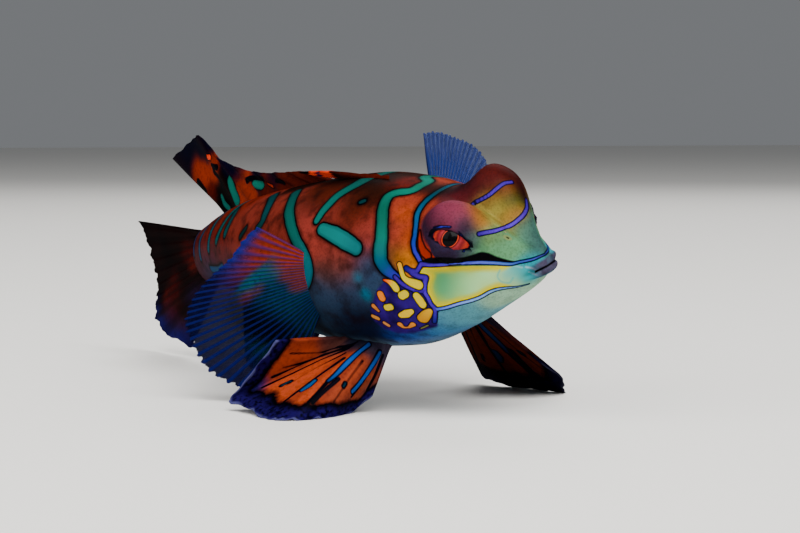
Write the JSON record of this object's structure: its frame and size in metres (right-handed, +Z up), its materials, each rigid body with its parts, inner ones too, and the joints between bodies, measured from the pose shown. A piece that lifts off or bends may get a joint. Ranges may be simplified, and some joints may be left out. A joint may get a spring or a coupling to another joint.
{
  "type": "mandarinfish model",
  "caption": "Life-size still model of a mandarinfish resting on its spread pelvic fins, with bulging eyes, fanned fins and a banded, netted skin.",
  "frame": {"origin": "on the floor, under the middle of the model's bounding box", "axes": "+X along the body towards the head, +Y towards the fish's left, +Z up"},
  "size_m": [0.0628, 0.028, 0.0203],
  "materials": {
    "skin": "slimy, satin",
    "fin": "wet membrane",
    "eye": "glossy"
  },
  "bodies": {
    "root": {"head": "skin", "trunk": "skin", "tail_stem": "skin", "eye_left": "eye", "eye_right": "eye", "caudal_fin": "fin", "dorsal_fin_first": "fin", "dorsal_fin_second": "fin", "anal_fin": "fin", "pectoral_fin_right": "fin", "pectoral_fin_left": "fin", "pelvic_fin_right": "fin", "pelvic_fin_left": "fin"}
  },
  "joints": []
}
